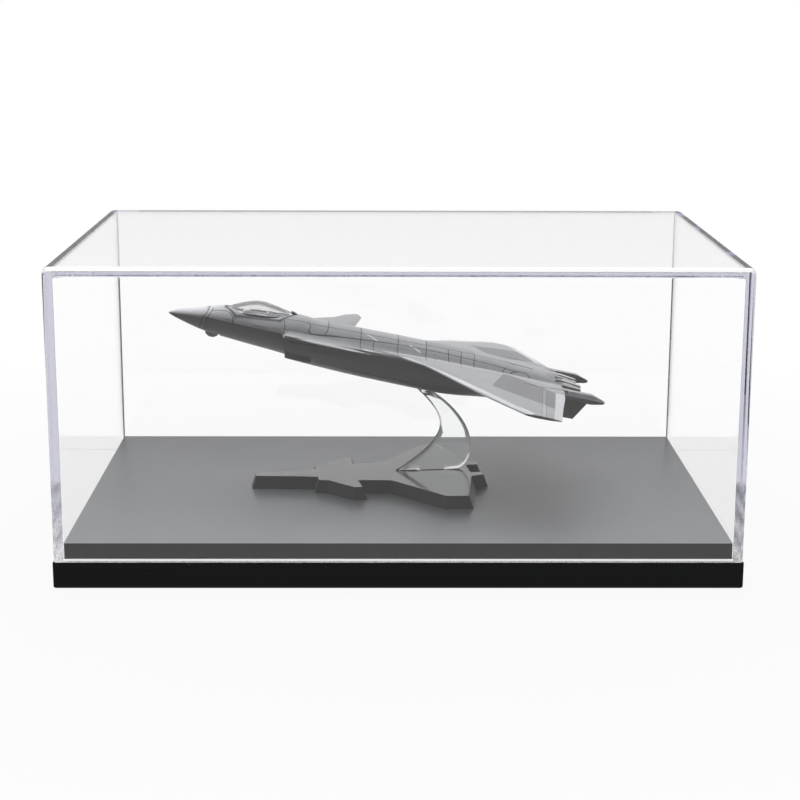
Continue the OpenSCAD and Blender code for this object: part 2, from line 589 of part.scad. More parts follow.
petals = 12;
petal_gap = 0.3;
petal_slit = 3;
module nozzle() translate([body_end, nozzle_y, nozzle_z]) rotate([0, 90, 0]) {
    difference() {
        rotate_extrude() polygon([[0, 0], [nozzle_r, 0], [nozzle_r, 1.5], [nozzle_mouth_r, nozzle_len],
            [nozzle_mouth_r - 0.5, nozzle_len], [nozzle_r - 1.3, 2.5], [0, 2.5]]);
        for (i = [0:petals - 1]) rotate(360 * i / petals)
            translate([nozzle_mouth_r - 1, -petal_gap / 2, nozzle_len - petal_slit]) cube([3, petal_gap, petal_slit + 1]);
    }
    translate([0, 0, -spigot_len]) cylinder(r = spigot_r, h = spigot_len + 0.5);
}
module jet_nozzle_left() color([0.4, 0.4, 0.4]) on_blade() mirrored(-1) nozzle();
module jet_nozzle_right() color([0.4, 0.4, 0.4]) on_blade() nozzle();

// ---------------------------------------------------------------- belly pieces
module jet_chin_sensor() color([0.2, 0.2, 0.2]) on_blade() 
    // Sections: [depth below the seat, share of the length cut off at each end, half width]
    loft([for (p = [[0, 0, sensor_half], [0.8, 0.06, 0.9 * sensor_half], [1.9, 0.32, 0.4 * sensor_half]])
        let (cut = p[1] * sensor_len, front = sensor_x + cut, rear = sensor_x + sensor_len - cut, z = sensor_seat - p[0])
        [[front, -p[2], z], [rear, -p[2], z], [rear, p[2], z], [front, p[2], z]]]);
module socket_block(g) translate([-socket[0] / 2 - g, -socket[1] / 2 - g, socket_low - (g > 0 ? 1 : 0)])
    cube([socket[0] + 2 * g, socket[1] + 2 * g, socket[2] + g + (g > 0 ? 1 : 0)]);
module jet_stand_socket() color([0.1, 0.1, 0.1]) on_blade() translate([seat_x, 0, 0]) difference() {
    socket_block(0);
    translate([-peg_w / 2 - peg_gap, -peg_t / 2 - peg_gap, socket_low - 1])
        cube([peg_w + 2 * peg_gap, peg_t + 2 * peg_gap, peg_h + 1 + peg_gap]);
}
body_screw_seat = -3;
body_head_t = 1.4;
module jet_body_screws() color("silver") on_blade() for (x = body_screw_xs) translate([x, 0, 0]) {
    translate([0, 0, body_screw_seat - body_head_t]) difference() {
        cylinder(r = 2 * body_screw_r, h = body_head_t);
        for (a = [0, 90]) rotate(a) translate([-body_screw_r, -recess_w / 2, -thin])
            cube([2 * body_screw_r, recess_w, body_head_t / 2]);
    }
    translate([0, 0, body_screw_seat - thin]) cylinder(r = body_screw_r, h = chine_z + 3 - body_screw_seat);
}

// ---------------------------------------------------------------- drawing
base_board();
plinth();
base_screws();
foot_pads();
cover_roof();
cover_left();
cover_right();
cover_front();
cover_back();
stand_plate();
stand_blade();
jet_nose_cone();
jet_upper_body();
jet_lower_body();
jet_intake_left();
jet_intake_right();
jet_cockpit_tub();
jet_canopy_frame();
jet_canopy_glass();
jet_canard_left();
jet_canard_right();
jet_fin_left();
jet_fin_right();
jet_nozzle_left();
jet_nozzle_right();
jet_chin_sensor();
jet_stand_socket();
jet_body_screws();
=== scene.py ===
"""Looks for a clear display case: the cover, its two boards, the stand and the model aircraft inside."""

import math

import bmesh
import bpy
from mathutils import Euler, Matrix, Vector


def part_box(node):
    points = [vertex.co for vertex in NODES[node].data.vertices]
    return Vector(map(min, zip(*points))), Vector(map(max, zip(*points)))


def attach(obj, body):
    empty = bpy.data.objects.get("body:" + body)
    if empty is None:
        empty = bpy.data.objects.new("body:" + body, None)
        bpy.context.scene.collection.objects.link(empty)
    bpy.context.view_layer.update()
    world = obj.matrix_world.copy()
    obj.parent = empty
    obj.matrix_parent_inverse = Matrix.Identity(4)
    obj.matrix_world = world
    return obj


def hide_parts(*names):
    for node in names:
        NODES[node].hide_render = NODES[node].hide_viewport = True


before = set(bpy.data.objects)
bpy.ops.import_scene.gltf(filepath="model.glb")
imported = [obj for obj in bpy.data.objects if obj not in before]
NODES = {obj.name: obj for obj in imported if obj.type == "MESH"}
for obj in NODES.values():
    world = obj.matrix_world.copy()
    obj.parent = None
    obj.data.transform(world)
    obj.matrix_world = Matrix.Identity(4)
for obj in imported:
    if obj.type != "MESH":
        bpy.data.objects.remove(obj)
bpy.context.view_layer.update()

bl_info = {
    "name": "Display case",
    "version": (1, 0, 0),
    "blender": (4, 5, 0),
    "location": "View3D > Sidebar > Display case",
    "description": "Acrylic cover, boards, stand and model aircraft, built round the packed frame",
    "category": "Object",
}

MM = 0.001
CLOSE = 0.001 * MM  # places nearer to each other than this count as one


# ---------------------------------------------------------------- shader helpers
class Sock:
    """A shader socket with a number in it: Python's operators on it add Math nodes."""

    def __init__(self, shader, socket):
        self.shader = shader
        self.socket = socket

    def math(self, operation, *others):
        return self.shader.node("ShaderNodeMath", {"operation": operation}, self, *others)

    def __add__(self, other):
        return self.math("ADD", other)

    __radd__ = __add__

    def __sub__(self, other):
        return self.math("SUBTRACT", other)

    def __rsub__(self, other):
        return self.shader.node("ShaderNodeMath", {"operation": "SUBTRACT"}, other, self)

    def __mul__(self, other):
        return self.math("MULTIPLY", other)

    __rmul__ = __mul__

    def __truediv__(self, other):
        return self.math("DIVIDE", other)

    def __gt__(self, other):
        return self.math("GREATER_THAN", other)

    def __lt__(self, other):
        return self.math("LESS_THAN", other)

    def __abs__(self):
        return self.math("ABSOLUTE")

    def least(self, other):
        return self.math("MINIMUM", other)

    def most(self, other):
        return self.math("MAXIMUM", other)

    def between(self, low, high, soft):
        """1 inside low to high, falling to 0 over soft outside them."""
        smooth = {"interpolation_type": "SMOOTHSTEP"}
        rise = self.shader.node("ShaderNodeMapRange", smooth, self, low - soft, low, 0.0, 1.0)
        fall = self.shader.node("ShaderNodeMapRange", smooth, self, high, high + soft, 1.0, 0.0)
        return rise * fall


class Shader:
    """A material or world whose nodes are added one call at a time."""

    def __init__(self, name, owner=None):
        self.owner = owner or bpy.data.materials.new(name)
        self.owner.use_nodes = True
        self.tree = self.owner.node_tree
        self.tree.nodes.clear()

    def node(self, kind, settings=None, *values, output=0, **named):
        """Adds a node, feeds its inputs by place or by name, and returns one of its outputs."""
        made = self.tree.nodes.new(kind)
        for key, value in (settings or {}).items():
            if key == "stops":
                self.set_stops(made.color_ramp, value)
            else:
                setattr(made, key, value)
        for index, value in list(enumerate(values)) + list(named.items()):
            self.feed(made, index, value)
        return Sock(self, made.outputs[output])

    def feed(self, made, key, value):
        if value is None:
            return
        socket = made.inputs[key] if isinstance(key, int) else made.inputs[key.replace("_", " ")]
        if isinstance(value, Sock):
            self.tree.links.new(value.socket, socket)
        else:
            socket.default_value = value

    @staticmethod
    def set_stops(ramp, stops):
        while len(ramp.elements) < len(stops):
            ramp.elements.new(1.0)
        for element, (place, colour) in zip(ramp.elements, stops):
            element.position = place
            element.color = colour

    def coords(self):
        """Place on the object, in metres."""
        return self.node("ShaderNodeTexCoord", {}, output=3)

    def facing_up(self):
        """1 where the surface faces up, 0 on a wall, -1 underneath."""
        return self.split(self.node("ShaderNodeNewGeometry", {}, output=1))[2]

    def split(self, vector):
        parts = self.node("ShaderNodeSeparateXYZ", {}, vector).socket.node
        return [Sock(self, parts.outputs[i]) for i in range(3)]

    def mapped(self, vector, location=(0, 0, 0), rotation=(0, 0, 0), scale=(1, 1, 1), kind="POINT"):
        return self.node("ShaderNodeMapping", {"vector_type": kind}, vector, location, rotation, scale)

    def noise(self, vector, scale, detail=3.0, roughness=0.5):
        return self.node("ShaderNodeTexNoise", {}, Vector=vector, Scale=scale, Detail=detail,
                         Roughness=roughness)

    def ramp(self, factor, *stops):
        return self.node("ShaderNodeValToRGB", {"stops": stops}, factor)

    def remap(self, value, low, high, to_low=0.0, to_high=1.0):
        """Stretches low..high to to_low..to_high, and holds the ends."""
        return self.node("ShaderNodeMapRange", {}, value, low, high, to_low, to_high)

    def mix(self, factor, first, second):
        """One colour turning into another."""
        made = self.tree.nodes.new("ShaderNodeMix")
        made.data_type = "RGBA"
        for index, value in ((0, factor), (6, first), (7, second)):
            self.feed(made, index, value)
        return Sock(self, made.outputs[2])

    def blend(self, factor, first, second):
        """One surface turning into another."""
        return self.node("ShaderNodeMixShader", {}, factor, first, second)

    def bump(self, height, distance, strength=1.0):
        return self.node("ShaderNodeBump", {}, Height=height, Distance=distance, Strength=strength)

    def seeing_rays(self):
        """Three masks: rays that the camera sees by way of clear or glossy surfaces alone, mirrored rays, and
        rays that came through a clear surface last."""
        path = self.tree.nodes.new("ShaderNodeLightPath")
        camera, glossy, through = [Sock(self, path.outputs["Is %s Ray" % kind])
                                   for kind in ("Camera", "Glossy", "Transmission")]
        direct = Sock(self, path.outputs["Diffuse Depth"]) < 0.5
        seen = camera.most(glossy).most(through * THROUGH_LEVEL) * direct
        return seen, Sock(self, path.outputs["Glossy Depth"]) > 0.5, through

    def surface(self, shader_socket, volume=None):
        out = self.tree.nodes.new("ShaderNodeOutputMaterial")
        self.tree.links.new(shader_socket.socket, out.inputs["Surface"])
        if volume:
            self.tree.links.new(volume.socket, out.inputs["Volume"])
        return self.owner

    def principled(self, **named):
        return self.node("ShaderNodeBsdfPrincipled", {}, **named)


def grey(level):
    return (level, level, level, 1.0)


def rgba(parts, level=1.0):
    """A colour as a socket takes it, made lighter or darker."""
    return (*[part * level for part in parts], 1.0)


# ---------------------------------------------------------------- sizes and colours
def length(name, default, description):
    return bpy.props.FloatProperty(name=name, description=description, default=default, min=0.0,
                                   unit="LENGTH")


def colour(name, default, description):
    return bpy.props.FloatVectorProperty(name=name, description=description, default=default, size=3,
                                         subtype="COLOR", min=0.0, max=1.0)


def shade(name, default, description):
    return bpy.props.FloatProperty(name=name, description=description, default=default, min=0.0, max=1.0,
                                   subtype="FACTOR")


class CoverLooks(bpy.types.PropertyGroup):
    corner: length("Corner radius", 2 * MM, "Radius of the front and back panels' upper corners")
    chamfer: length("Chamfer", 0.9 * MM, "Polished flat round the front and back panels")
    fillet: length("Cement fillet", 0.35 * MM, "Bead of cement along the inner corners")
    tint: colour("Tint", (0.6, 0.605, 0.7), "Colour that a long way through the sheet takes on")


class BoardLooks(bpy.types.PropertyGroup):
    plinth_colour: colour("Plinth", (0.06, 0.062, 0.065), "Satin grey of the plinth")
    base_colour: colour("Base", (0.006, 0.0068, 0.0075), "Satin black of the base board")


class StandLooks(bpy.types.PropertyGroup):
    plate_colour: colour("Plate", (0.022, 0.022, 0.023), "Glossy black of the outline plate")
    blade_tint: colour("Blade", (0.86, 0.92, 0.9), "Faint green of the clear blade")
    blade_thickness: length("Blade thickness", 3.4 * MM, "Thickness of the clear blade")
    blade_round: length("Blade edge", 1.5 * MM, "Radius of the blade's edges")


class AircraftLooks(bpy.types.PropertyGroup):
    top_paint: shade("Top paint", 0.335, "Light grey of the upper surfaces")
    # Painted shade: the sides and belly get a darker copy of the top's grey, in place of the shade they lie
    # in
    shaded_side_paint: shade("Side paint", 0.125, "Grey of the sides and belly")


def looks_of(group):
    """The values of one group in the add-on's panel."""
    return getattr(bpy.context.scene, group)


# ---------------------------------------------------------------- mesh helpers
def cube(bm, low, high):
    """A cuboid between two corners; returns its vertices."""
    low, high = Vector(low), Vector(high)
    size = high - low
    place = Matrix.Translation((low + high) / 2) @ Matrix.Diagonal((*size, 1))
    return bmesh.ops.create_cube(bm, size=1.0, matrix=place)["verts"]


def bevel(bm, edges, offset, segments, clamp_overlap=False):
    """Rounds edges; a single segment makes a flat."""
    bmesh.ops.bevel(bm, geom=edges, offset=offset, offset_type="OFFSET", affect="EDGES", segments=segments,
                    profile=0.5, material=-1, clamp_overlap=clamp_overlap)


def slice_at(bm, place, normal, section_only=False):
    """Cuts every face along a plane, and can leave the section alone."""
    bmesh.ops.bisect_plane(bm, geom=[*bm.faces, *bm.edges, *bm.verts], plane_co=place, plane_no=normal,
                           clear_outer=section_only, clear_inner=section_only)


def lies_at(edge, axis, place):
    """Whether both ends of an edge are at one place along an axis."""
    return all(abs(getattr(vert.co, axis) - place) < CLOSE for vert in edge.verts)


def runs_along(edge, axis):
    """Whether an edge's ends lie apart along an axis."""
    return not lies_at(edge, axis, getattr(edge.verts[0].co, axis))


def loose_object(name, bm):
    """Puts a bmesh in the scene as an object of its own, and frees it."""
    mesh = bpy.data.meshes.new(name)
    bm.to_mesh(mesh)
    bm.free()
    made = bpy.data.objects.new(name, mesh)
    bpy.context.scene.collection.objects.link(made)
    return made


def carve(bm, operation, *tools):
    """The union of a bmesh with others, or its difference from them, as a new bmesh."""
    base = loose_object("carved", bm)
    cutters = [loose_object("cutter", tool) for tool in tools]
    for cutter in cutters:
        modifier = base.modifiers.new("carve", "BOOLEAN")
        modifier.operation = operation
        modifier.solver = "EXACT"
        modifier.object = cutter
    shaped = base.evaluated_get(bpy.context.evaluated_depsgraph_get())
    made = bmesh.new()
    made.from_mesh(shaped.to_mesh())
    shaped.to_mesh_clear()
    for one in (base, *cutters):
        mesh = one.data
        bpy.data.objects.remove(one)
        bpy.data.meshes.remove(mesh)
    return made


def piece(name, bm, materials, body, slot, *replaced, smooth_angle=None):
    """Closes a bmesh into an object that rides on a body and stands for CAD nodes."""
    bmesh.ops.dissolve_degenerate(bm, dist=CLOSE, edges=bm.edges)
    made = loose_object(name, bm)
    mesh = made.data
    for material in materials:
        mesh.materials.append(material)
    if smooth_angle is not None:
        mesh.polygons.foreach_set("use_smooth", [True] * len(mesh.polygons))
        mesh.set_sharp_from_angle(angle=math.radians(smooth_angle))
    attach(made, body)
    if replaced:
        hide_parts(*replaced)
    return made


def finish_node(name, material):
    """Gives a CAD node its material."""
    slots = NODES[name].data.materials
    slots.clear()
    slots.append(material)


FLAT_DEGREES = 0.4  # triangles that turn less than this from each other are one face


def copy_of(name):
    """A CAD node's mesh as a bmesh of its own, its triangles joined into flat faces."""
    bm = bmesh.new()
    bm.from_mesh(NODES[name].data)
    bmesh.ops.remove_doubles(bm, verts=bm.verts, dist=2 * CLOSE)
    bmesh.ops.dissolve_limit(bm, angle_limit=math.radians(FLAT_DEGREES), verts=bm.verts, edges=bm.edges)
    return bm


# ---------------------------------------------------------------- stage
# The camera stands in front of the case and looks slightly down on it
CAMERA_PLACE = Vector((-5.38, -640.0, 197.34)) * MM
CAMERA_PITCH = 0.2301
CAMERA_YAW = -0.0099
CAMERA_ROLL = -0.0033
FOCAL_PIXELS = 1785.77  # focal length, in pixels of a square frame of FRAME_PIXELS
FRAME_PIXELS = 800
SENSOR_MM = 36.0
NEAREST_SEEN = 0.01

THROUGH_LEVEL = 1.06  # white seen through clear sheets, which keep back a little of it
DIM_LEVEL = 0.08  # what the white surroundings give the object as light
MIRRORED_LEVEL = 0.93  # what the case's outside mirrors of them
LOW_SKY, HIGH_SKY = 0.35, 1.15  # what its inside mirrors of them, near the horizon and further up
FRONT_SKY = 0.6  # share of that on the camera's side
FLOOR_HALF = 6.0
FLOOR_DROP = 0.05 * MM  # below the foot pads


def add_camera():
    """The main view's camera."""
    data = bpy.data.cameras.new("camera")
    data.sensor_width = SENSOR_MM
    data.lens = FOCAL_PIXELS / FRAME_PIXELS * SENSOR_MM
    data.clip_start = NEAREST_SEEN
    camera = bpy.data.objects.new("camera", data)
    turn = (Matrix.Rotation(CAMERA_YAW, 4, "Z") @ Matrix.Rotation(math.pi / 2 - CAMERA_PITCH, 4, "X")
            @ Matrix.Rotation(-CAMERA_ROLL, 4, "Z"))
    camera.matrix_world = Matrix.Translation(CAMERA_PLACE) @ turn
    bpy.context.scene.collection.objects.link(camera)
    bpy.context.scene.camera = camera


def add_world():
    """Surroundings that the camera sees as white, and that give the object little light."""
    world = bpy.data.worlds.new("studio")
    bpy.context.scene.world = world
    shader = Shader("studio", world)
    direction = shader.split(shader.node("ShaderNodeTexCoord", {}, output=0))
    seen, mirrored, inside = shader.seeing_rays()
    upward = shader.remap(direction[2], 0.05, 0.3, LOW_SKY, HIGH_SKY)
    sky = upward * shader.remap(direction[1], -0.75, -0.1, FRONT_SKY, 1.0)
    lost = mirrored * (1.0 - MIRRORED_LEVEL + inside * (MIRRORED_LEVEL - sky))
    white = shader.node("ShaderNodeBackground", {}, grey(1.0), (seen * (1.0 - lost)).most(DIM_LEVEL))
    out = shader.tree.nodes.new("ShaderNodeOutputWorld")
    shader.tree.links.new(white.socket, out.inputs["Surface"])


def add_lamp(name, place, aim, width, depth, watts):
    """A soft rectangular lamp that lights the object but isn't mirrored in it."""
    data = bpy.data.lights.new(name, "AREA")
    data.shape = "RECTANGLE"
    data.size = width
    data.size_y = depth
    data.energy = watts
    lamp = bpy.data.objects.new(name, data)
    lamp.location = place
    lamp.rotation_euler = (Vector(aim) - Vector(place)).to_track_quat("-Z", "Y").to_euler()
    lamp.visible_glossy = False
    lamp.visible_transmission = False
    bpy.context.scene.collection.objects.link(lamp)


def floor_material():
    """White to the camera but for the case's faint shadow, and matt grey to the light."""
    shader = Shader("floor_white")
    seen, mirrored, inside = shader.seeing_rays()
    x, y, _ = shader.split(shader.coords())
    lost_in_front = inside * shader.remap(y, -0.1, 0.05, 0.65, 0.0)
    near_case = shader.remap(x * x + y * y, 0.02, 0.12, 1.0, 0.0)
    matt = shader.node("ShaderNodeBsdfDiffuse", {}, grey(0.3))
    white = shader.node("ShaderNodeEmission", {}, grey(1.0), seen * (1.0 - mirrored * lost_in_front))
    return shader.surface(shader.blend(seen.least(1.0) * (1.0 - near_case * 0.06), matt, white))


class CASE_OT_stage(bpy.types.Operator):
    """Adds the camera, the floor, the white surroundings and the lamp"""
    bl_idname = "case.stage"
    bl_label = "Stage"

    def execute(self, context):
        scene = context.scene
        scene.view_settings.view_transform = "Standard"
        scene.cycles.max_bounces = 32
        scene.cycles.glossy_bounces = 20
        scene.cycles.transmission_bounces = 24
        add_camera()
        add_world()
        bm = bmesh.new()
        bmesh.ops.create_grid(bm, x_segments=1, y_segments=1, size=FLOOR_HALF)
        floor = loose_object("floor", bm)
        floor.data.materials.append(floor_material())
        floor.location.z = -FLOOR_DROP
        add_lamp("top_softbox", place=(-0.1, 0.32, 0.9), aim=(0, 0, 0.05), width=1.2, depth=0.9, watts=18.0)
        return {"FINISHED"}


# ---------------------------------------------------------------- cover
ACRYLIC_IOR = 1.49


def acrylic(shader, roughness, passed):
    """Clear acrylic that lets lamp light through in the colour passed, so that it hardly casts a shadow."""
    path = shader.tree.nodes.new("ShaderNodeLightPath")
    glass = shader.node("ShaderNodeBsdfGlass", {}, Color=grey(1.0), Roughness=roughness, IOR=ACRYLIC_IOR)
    through = shader.node("ShaderNodeBsdfTransparent", {}, rgba(passed))
    return shader.blend(Sock(shader, path.outputs["Is Shadow Ray"]), glass, through)


def shaded_rim(shader, clear, low, high, strength):
    """Clear surface with painted shade: it greys where it turns away from the eye, as a thick rounded rim
    looks.
    """
    # The dark grey that is mixed in as painted shade
    rim_shade = shader.principled(Base_Color=(0.12, 0.122, 0.125, 1), Roughness=0.25)
    turned = shader.node("ShaderNodeLayerWeight", {}, 0.5, output=1)
    return shader.blend(shader.remap(turned, low, high, 0.0, strength), clear, rim_shade)


def clear_sheet(name, tint, density, rim_shade=None):
    """Clear acrylic that takes on its tint over a long way, with painted rim shade if rim settings are given.
    """
    shader = Shader(name)
    clear = acrylic(shader, 0.0, (0.96, 0.96, 0.97))
    if rim_shade:
        clear = shaded_rim(shader, clear, *rim_shade)
    return shader.surface(clear, shader.node("ShaderNodeVolumeAbsorption", {}, rgba(tint), density))


def sawn_rim():
    """Unpolished lower edge of the sheets, as the saw left it."""
    shader = Shader("sawn_rim")
    place = shader.coords()
    chips = shader.noise(shader.mapped(place, scale=(1.0, 0.35, 1.0)), 1400.0, 3.0, 0.7)
    strokes = shader.noise(shader.mapped(place, rotation=(0, 0, 0.6), scale=(3000, 200, 1)), 1.0, 2.0)
    tone = shader.ramp(chips * 0.75 + strokes * 0.25, (0.36, grey(0.3)), (0.48, grey(0.8)), (0.58, grey(1.0)))
    relief = shader.bump(chips, 0.1 * MM, 0.8)
    return shader.surface(shader.principled(Base_Color=tone, Roughness=0.7, Normal=relief))


def scraped_edge(name, painted_glow):
    """Edge that the scraper dulled: white, with a painted glow in place of the light the sheet brings down to
    it.
    """
    shader = Shader(name)
    scrape = shader.noise(shader.mapped(shader.coords(), scale=(60, 4000, 400)), 1.0, 3.0)
    tone = shader.mix(scrape, grey(0.92), grey(1.0))
    # The emission is painted light: the edge glows though no lamp is there
    return shader.surface(shader.principled(Base_Color=tone, Metallic=0.4, Roughness=0.4 + scrape * 0.2,
                                            Emission_Color=tone, Emission_Strength=painted_glow,
                                            Normal=shader.bump(scrape, 0.02 * MM, 0.3)))


def glued_edge(name, dark, light):
    """Edge of a sheet seen through dried cement: mottled along its length."""
    shader = Shader(name)
    place = shader.coords()
    blotch = shader.noise(shader.mapped(place, scale=(1.0, 0.4, 1.0)), 900.0, 4.0, 0.65)
    stain = shader.noise(place, 60.0, 1.0)
    tone = shader.mix(shader.remap(blotch, 0.35, 0.65), rgba(dark), rgba(light))
    tone = shader.mix(shader.remap(stain, 0.6, 0.66), tone, (0.21, 0.2, 0.31, 1))
    return shader.surface(shader.principled(Base_Color=tone, Roughness=0.5, Specular_IOR_Level=0.15,
                                            Normal=shader.bump(blotch, 0.05 * MM, 0.6)))


RIM_GAP = 0.03 * MM  # between the cover's rim and the base board
SEAM_GAP = 0.01 * MM  # half of what shows between the roof and a side sheet
FOOT_SHARE = 0.7  # the chamfer inside the front sheet's foot, as a share of the polished one
CLEAR, SAWN, SCRAPED, GLUED_TOP, CEMENT, SCRAPED_FOOT = range(6)


class Shell:
    """The cover as one clear body, measured from the five sheets of the CAD model."""

    def __init__(self, looks):
        self.looks = looks
        self.left, self.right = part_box("cover_left"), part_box("cover_right")
        self.inner_x = self.left[1].x, self.right[0].x
        self.front, self.back = self.left[0].y, self.left[1].y
        self.roof_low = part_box("cover_roof")[0].z
        self.rim = self.left[0].z + RIM_GAP

    def whole(self):
        bm = carve(self.block(), "UNION", self.end_panel("front"), self.end_panel("back"))
        bm = carve(bm, "DIFFERENCE", self.hollow(), self.foot_cutter(), *map(self.seam_cutter, self.inner_x))
        for x in self.inner_x:
            slice_at(bm, (x, 0, 0), (1, 0, 0))
        for y in (self.front, self.back):
            slice_at(bm, (0, y, 0), (0, 1, 0))
        for face in bm.faces:
            face.material_index = self.finish_of(face)
        return bm

    def block(self):
        """Roof and side sheets as a solid, with a chamfer where the roof meets each side."""
        bm = bmesh.new()
        cube(bm, (self.left[0].x, self.front, self.rim), self.right[1])
        upper = [e for e in bm.edges if runs_along(e, "y") and not lies_at(e, "z", self.rim)]
        bevel(bm, upper, self.looks.chamfer, 1)
        return bm

    def end_panel(self, end):
        """A flat sheet with two rounded upper corners and a chamfer round its outer face, its foot square."""
        low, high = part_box("cover_" + end)
        bm = bmesh.new()
        cube(bm, (low.x, low.y, self.rim), high)
        upper = [e for e in bm.edges if runs_along(e, "y") and lies_at(e, "z", high.z)]
        bevel(bm, upper, self.looks.corner, 8)
        outer_y = low.y if end == "front" else high.y
        outer = [e for e in bm.edges if lies_at(e, "y", outer_y) and not lies_at(e, "z", self.rim)]
        bevel(bm, outer, self.looks.chamfer, 1)
        return bm

    def hollow(self):
        """The space inside, with beads of cement left along its corners."""
        bm = bmesh.new()
        cube(bm, (self.inner_x[0], self.front, self.rim - 5 * MM),
             (self.inner_x[1], self.back, self.roof_low))
        corners = [e for e in bm.edges if max(v.co.z for v in e.verts) > self.rim]
        bevel(bm, corners, self.looks.fillet, 2)
        return bm

    def foot_cutter(self):
        """Square bar standing on an edge, for the chamfer inside the front sheet's foot."""
        side = FOOT_SHARE * self.looks.chamfer * math.sqrt(2)
        size = Matrix.Diagonal((self.inner_x[1] - self.inner_x[0], side, side, 1))
        turn = Matrix.Translation((0, self.front, self.rim)) @ Matrix.Rotation(math.pi / 4, 4, "X")
        bm = bmesh.new()
        bmesh.ops.create_cube(bm, size=1.0, matrix=turn @ size)
        return bm

    def seam_cutter(self, x):
        """Thin plate that parts the roof from the side sheet at x."""
        bm = bmesh.new()
        cube(bm, (x - SEAM_GAP, self.front, self.roof_low - self.looks.fillet),
             (x + SEAM_GAP, self.back, self.right[1].z + MM))
        return bm

    def finish_of(self, face):
        """A face's finish, from where it lies and which way it faces."""
        normal, middle = face.normal, face.calc_center_median()
        slanted = 0.3 < abs(normal.y) < 0.95
        if normal.z < -0.3 and middle.z < self.rim + MM:
            return SCRAPED_FOOT if slanted else SAWN
        if normal.z > 0.3 and middle.y < self.front:
            return SCRAPED
        left, right = self.inner_x
        if normal.z > 0.9 and middle.z > self.roof_low and not left < middle.x < right:
            return GLUED_TOP
        inside = left - MM < middle.x < right + MM and self.front < middle.y < self.back
        if inside and slanted and abs(normal.x) > 0.3 and middle.y > 0:
            return CEMENT
        return CLEAR


class CASE_OT_cover(bpy.types.Operator):
    """Makes the five cemented sheets as one clear body with a sawn rim"""
    bl_idname = "case.cover"
    bl_label = "Cover"

    def execute(self, context):
        looks = looks_of("case_cover")
        finishes = {
            CLEAR: clear_sheet("clear_acrylic", looks.tint, density=9.0),
            SAWN: sawn_rim(),
            SCRAPED: scraped_edge("scraped_edge", painted_glow=0.2),
            GLUED_TOP: glued_edge("glued_top_edge", (0.04, 0.043, 0.046), (0.13, 0.134, 0.145)),
            CEMENT: glued_edge("cement_line", (0.2, 0.2, 0.2), (0.36, 0.36, 0.36)),
            SCRAPED_FOOT: scraped_edge("scraped_foot", painted_glow=0.6),
        }
        piece("clear_cover", Shell(looks).whole(), finishes.values(), "cover", "clear_acrylic", "cover_roof",
              "cover_left", "cover_right", "cover_front", "cover_back")
        return {"FINISHED"}


# ---------------------------------------------------------------- boards
BOARD_REACH = 72 * MM  # from the boards' middle to their front and back
# Painted light: the boards' tops are painted paler towards the front and darker at the back, in place of the
# sheen they mirror
FRONT_SHEEN, BACK_SHEEN = 1.7, -0.25  # how much paler their tops are there
DARKEST, PALEST = 0.4, 3.0  # shares of a board's colour that its tone keeps between


def board_material(name, base, roughness, specular):
    """Satin board: a fine straight grain along x, a few hair scratches, dust specks and a painted sheen."""
    shader = Shader(name)
    place = shader.coords()
    fibres = shader.noise(shader.mapped(place, scale=(60, 3000, 3000)), 1.0, 4.0, 0.6)
    cloud = shader.noise(place, 25.0, 3.0, 0.5)
    specks = shader.noise(place, 1300.0, 1.0, 0.3) > 0.8
    slanting = shader.mapped(place, rotation=(0, 0, 0.35), scale=(8, 900, 900))
    scratches = shader.noise(slanting, 1.0, 2.0, 0.4) > 0.76
    # Painted sheen: the top's tone rises towards the front and falls towards the back
    painted_sheen = shader.remap(shader.split(place)[1], -BOARD_REACH, BOARD_REACH, FRONT_SHEEN, BACK_SHEEN)
    tone = 1.0 + painted_sheen * shader.facing_up() + (fibres - 0.5) * 0.5 + (cloud - 0.5) * 0.12
    body = shader.mix(shader.remap(tone, DARKEST, PALEST), rgba(base, DARKEST), rgba(base, PALEST))
    dusty = shader.mix(specks * 0.35, body, grey(0.4))
    rough = roughness + (fibres - 0.5) * 0.1 + (cloud - 0.5) * 0.08 + scratches * 0.1
    relief = shader.bump(fibres + scratches * 0.4, 0.004 * MM, 0.3)
    return shader.surface(shader.principled(Base_Color=dusty, Roughness=rough, Specular_IOR_Level=specular,
                                            Normal=relief))


def metal_material(name, base, roughness):
    """Turned metal, with fine rings across its height."""
    shader = Shader(name)
    turned = shader.noise(shader.mapped(shader.coords(), scale=(900, 900, 5000)), 1.0, 3.0)
    tint = shader.mix(turned, rgba(base, 0.8), rgba(base))
    return shader.surface(shader.principled(Base_Color=tint, Metallic=1.0,
                                            Roughness=roughness + (turned - 0.5) * 0.2))


def matt_material(name, base, roughness, grain_scale=2500.0, relief=0.02 * MM):
    """Plain paint, plastic or felt with a grain."""
    shader = Shader(name)
    grain = shader.noise(shader.coords(), grain_scale, 2.0)
    tint = shader.mix(grain, rgba(base, 0.7), rgba(base, 1.3))
    return shader.surface(shader.principled(Base_Color=tint, Roughness=roughness + (grain - 0.5) * 0.1,
                                            Normal=shader.bump(grain, relief, 0.6)))


class CASE_OT_boards(bpy.types.Operator):
    """Finishes the base board, the plinth, their screws and the foot pads"""
    bl_idname = "case.boards"
    bl_label = "Boards"

    def execute(self, context):
        looks = looks_of("case_boards")
        finish_node("base_board", board_material("black_board", looks.base_colour, 0.4, 0.12))
        finish_node("plinth", board_material("grey_board", looks.plinth_colour, 0.33, 0.35))
        finish_node("base_screws", metal_material("zinc_screws", (0.55, 0.55, 0.56), 0.35))
        finish_node("foot_pads", matt_material("felt_pads", (0.02, 0.02, 0.022), 0.95, 6000.0, 0.1 * MM))
        for name in ("base_board", "plinth", "base_screws", "foot_pads"):
            NODES[name].visible_glossy = False
        return {"FINISHED"}


